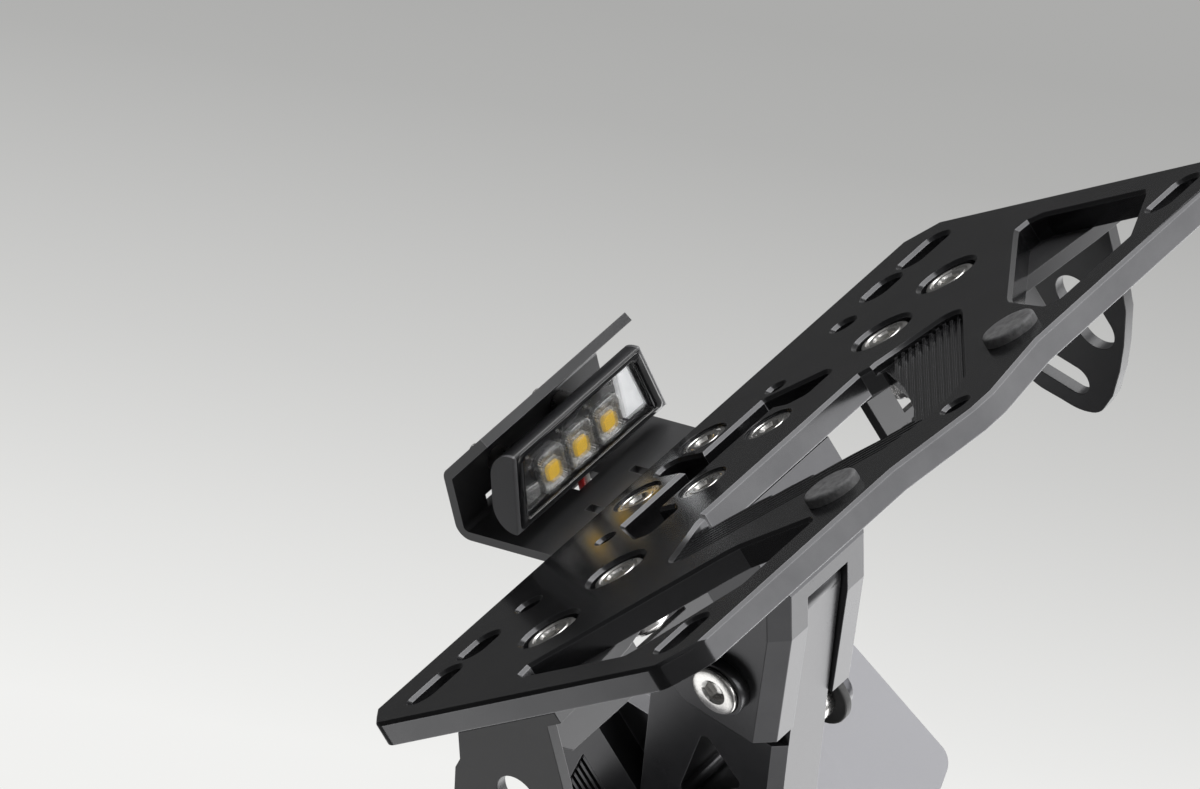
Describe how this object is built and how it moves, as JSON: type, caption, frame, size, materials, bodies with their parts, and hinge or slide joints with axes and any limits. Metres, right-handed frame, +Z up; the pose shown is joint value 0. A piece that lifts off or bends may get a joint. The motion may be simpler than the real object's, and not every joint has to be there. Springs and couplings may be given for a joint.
{
  "type": "tail tidy",
  "caption": "Motorbike licence-plate carrier with lamp, slotted indicator brackets and a tilting hinge arm under a tail mounting plate.",
  "frame": {"origin": "middle of the tail bolt pattern, on the mounting plate's top face", "axes": "+X to the rider's right, +Y forwards to the machine, +Z up"},
  "size_m": [0.173, 0.1455, 0.1755],
  "materials": {
    "black_anodised": "satin black anodised, fine milled edges",
    "black_sheet": "matte black coated sheet",
    "black_screw": "semi-gloss black steel",
    "turned_steel": "turned rings, dark bright steel",
    "steel": "plain bright steel",
    "rubber_pad": "matte grey-black rubber",
    "lamp_black": "gloss black frame with matte ends",
    "clear_lens": "clear polished",
    "circuit_board": "white coated board",
    "light_chip": "yellow phosphor",
    "reflector": "bright moulded reflector",
    "wire_red": "soft insulation",
    "wire_white": "soft insulation"
  },
  "bodies": {
    "arm_side": {"arm": "black_anodised", "mounting_plate": "black_anodised", "arm_screws": "black_screw", "guide_spacer": "turned_steel", "guide_washer": "rubber_pad", "guide_screw": "black_screw"},
    "carrier_side": {"plate_carrier": "black_anodised", "plate_pad_left": "rubber_pad", "plate_pad_right": "rubber_pad", "hinge_block": "black_anodised", "block_screws": "black_screw", "pivot_bolt": "steel", "pivot_cup": "black_anodised", "pivot_washer": "black_anodised", "pivot_nut": "steel", "lamp_bracket": "black_sheet", "lamp_housing": "lamp_black", "lamp_lens": "clear_lens", "lamp_board": "circuit_board", "lamp_chips": "light_chip", "lamp_reflector": "reflector", "lamp_studs": "steel", "lamp_spacers": "steel", "lamp_nuts": "steel", "lamp_wire_red": "wire_red", "lamp_wire_white": "wire_white", "indicator_bracket_left": "black_sheet", "indicator_bracket_right": "black_sheet", "indicator_screws": "turned_steel", "indicator_nuts": "steel"}
  },
  "joints": [
    {"name": "tilt", "type": "hinge", "parent": "arm_side", "child": "carrier_side", "pos_m": [0, -0.0529, -0.08], "axis": [1, 0, 0], "range_deg": [-15, 15]}
  ]
}
